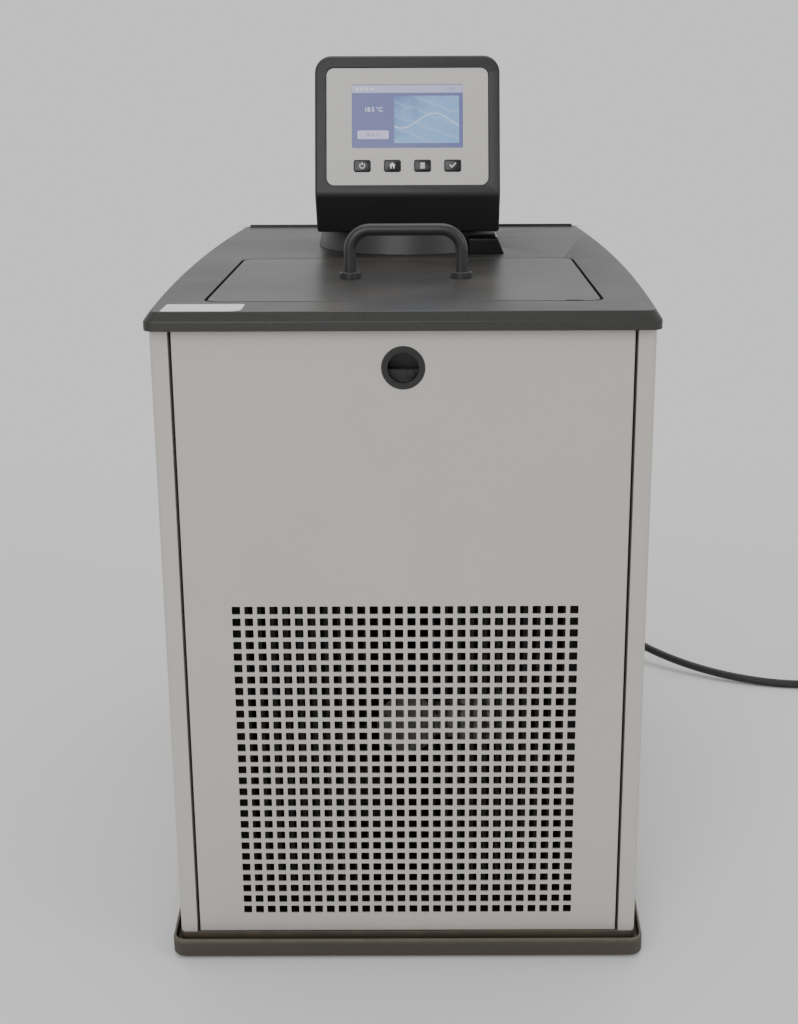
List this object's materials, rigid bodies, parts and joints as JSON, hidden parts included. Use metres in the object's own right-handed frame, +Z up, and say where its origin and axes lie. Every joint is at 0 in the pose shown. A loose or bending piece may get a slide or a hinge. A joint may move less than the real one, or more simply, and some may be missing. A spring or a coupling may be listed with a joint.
{
  "type": "refrigerated circulator",
  "caption": "Floor-standing refrigerated circulator: bowed sheet-metal cabinet with a square-hole front grille, a lidded bath, and a control head with a display that swivels on a turret.",
  "frame": {"origin": "on the floor, under the middle of the cabinet's width and midway between the deck's front edge and the ends of the hose fittings", "axes": "+X to the right seen from the front, +Y to the rear, +Z up"},
  "size_m": [0.7744, 0.6556, 0.6661],
  "materials": {
    "panel_paint": "satin",
    "dark_moulding": "fine texture",
    "tray_moulding": "fine texture",
    "head_moulding": "satin",
    "black_rubber": "matt",
    "frame_paint": "satin",
    "black_gloss": "gloss",
    "handle_paint": "satin",
    "steel": "brushed",
    "foam": "matt",
    "bezel_silver": "satin",
    "display_glass": "gloss",
    "circuit_green": "satin",
    "pump_plastic": "satin",
    "hose_rubber": "matt",
    "fin_aluminium": "mill",
    "copper": "drawn",
    "tie_plastic": "satin"
  },
  "bodies": {
    "cabinet": {"base_tray": "tray_moulding", "feet": "black_rubber", "chassis_frame": "frame_paint", "panel_magnets": "frame_paint", "side_panel_left": "panel_paint", "side_panel_right": "panel_paint", "front_panel": "panel_paint", "finger_pull": "dark_moulding", "rear_panel": "panel_paint", "panel_screws": "steel", "top_deck": "dark_moulding", "lid": "dark_moulding", "lid_seal": "black_rubber", "lid_handle": "handle_paint", "handle_collars": "handle_paint", "handle_screws": "steel", "tank_insulation": "foam", "bath_tank": "steel", "turret_skirt": "dark_moulding", "swivel_ring": "dark_moulding", "turret_side_cover": "black_gloss", "bridge_plate": "steel", "pump_motor": "frame_paint", "pump_housing": "pump_plastic", "heater_coil": "steel", "temperature_probe": "steel", "evaporator_coil": "steel", "supply_tube": "hose_rubber", "return_tube": "hose_rubber", "drain_tube": "hose_rubber", "hose_fittings": "steel", "drain_fitting": "steel", "drain_plug": "black_rubber", "condenser": "frame_paint", "fan_shroud": "frame_paint", "fan_motor": "frame_paint", "compressor": "frame_paint", "compressor_grommets": "black_rubber", "filter_drier": "copper", "refrigerant_lines": "copper", "suction_line": "copper", "power_box": "frame_paint", "circuit_breaker": "dark_moulding", "cord_gland": "black_rubber", "mains_cord": "black_rubber", "cord_coil": "black_rubber", "cord_tie": "tie_plastic", "cord_plug": "black_rubber"},
    "control_head": {"head_front_housing": "head_moulding", "head_rear_housing": "head_moulding", "bezel_plate": "bezel_silver", "display": "display_glass", "control_board": "circuit_green"},
    "power_key": {"key_power": "black_gloss"},
    "home_key": {"key_home": "black_gloss"},
    "list_key": {"key_list": "black_gloss"},
    "set_key": {"key_set": "black_gloss"},
    "pump": {"pump_rotor": "steel"},
    "fan": {"fan_rotor": "fin_aluminium"},
    "rocker": {"breaker_rocker": "black_gloss"}
  },
  "joints": [
    {"name": "head_swivel", "type": "hinge", "parent": "cabinet", "child": "control_head", "pos_m": [0, 0.105, 0.516], "axis": [0, 0, 1], "range_deg": [-90, 90]},
    {"name": "power_key_press", "type": "slide", "parent": "control_head", "child": "power_key", "axis": [0, 0.9588, -0.284], "range_m": [0, 0.0008], "stiffness_N_per_m": 400, "springref_m": -0.0005},
    {"name": "home_key_press", "type": "slide", "parent": "control_head", "child": "home_key", "axis": [0, 0.9588, -0.284], "range_m": [0, 0.0008], "stiffness_N_per_m": 400, "springref_m": -0.0005},
    {"name": "list_key_press", "type": "slide", "parent": "control_head", "child": "list_key", "axis": [0, 0.9588, -0.284], "range_m": [0, 0.0008], "stiffness_N_per_m": 400, "springref_m": -0.0005},
    {"name": "set_key_press", "type": "slide", "parent": "control_head", "child": "set_key", "axis": [0, 0.9588, -0.284], "range_m": [0, 0.0008], "stiffness_N_per_m": 400, "springref_m": -0.0005},
    {"name": "pump_spin", "type": "hinge", "parent": "cabinet", "child": "pump", "pos_m": [0, 0.105, 0.44], "axis": [0, 0, 1], "continuous": true},
    {"name": "fan_spin", "type": "hinge", "parent": "cabinet", "child": "fan", "pos_m": [0, -0.196, 0.1587], "axis": [0, 1, 0], "continuous": true},
    {"name": "breaker_switch", "type": "hinge", "parent": "cabinet", "child": "rocker", "pos_m": [0.072, 0.254, 0.084], "axis": [1, 0, 0], "range_deg": [-18, 0]}
  ]
}
